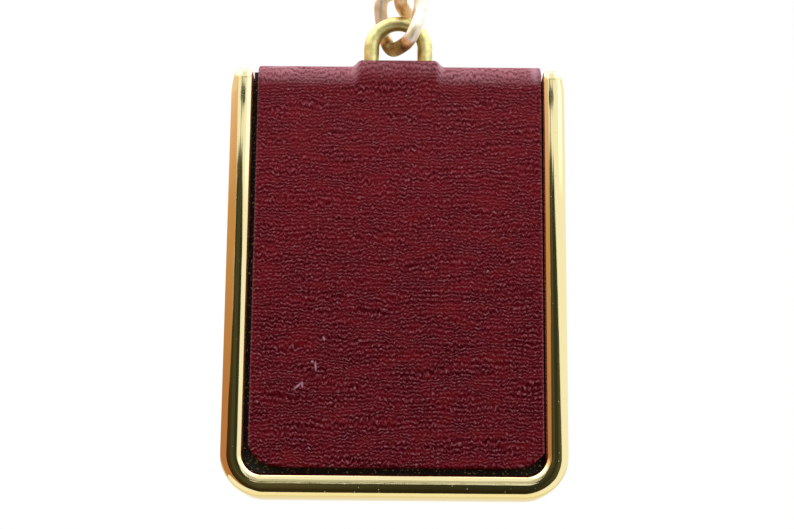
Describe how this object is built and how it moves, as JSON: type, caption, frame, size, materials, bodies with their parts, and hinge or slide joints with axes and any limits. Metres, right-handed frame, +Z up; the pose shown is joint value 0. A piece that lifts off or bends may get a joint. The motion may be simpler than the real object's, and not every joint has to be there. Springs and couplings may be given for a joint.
{
  "type": "rectangular leather faced pendant with bail and chain links",
  "caption": "Flat rectangular pendant: burgundy leather strip folded over a polished gold U frame, with a wire bail at the top hung in twisted chain links.",
  "frame": {"origin": "inside top of the upper chain link, where the rest of the chain pulls", "axes": "+Z up along the height of the pendant, -Y towards the front, +X to the viewer's right"},
  "size_m": [0.03, 0.0056, 0.0509],
  "materials": {
    "gold_plate": "polished gold plate with fine scratches",
    "burgundy_leather": "smooth calf leather with fine wrinkles, semi matte",
    "worn_brass": "pale worn brass, satin",
    "link_brass": "slightly tarnished pale gold plate"
  },
  "bodies": {
    "chain": {"link_1": "link_brass", "link_2": "link_brass"},
    "pendant": {"frame": "gold_plate", "leather": "burgundy_leather", "bail": "worn_brass"}
  },
  "joints": [
    {"name": "side_swing", "type": "hinge", "parent": "chain", "child": "pendant", "pos_m": [0, 0, -0.00865], "axis": [0, 1, 0], "range_deg": [-50, 50]}
  ]
}
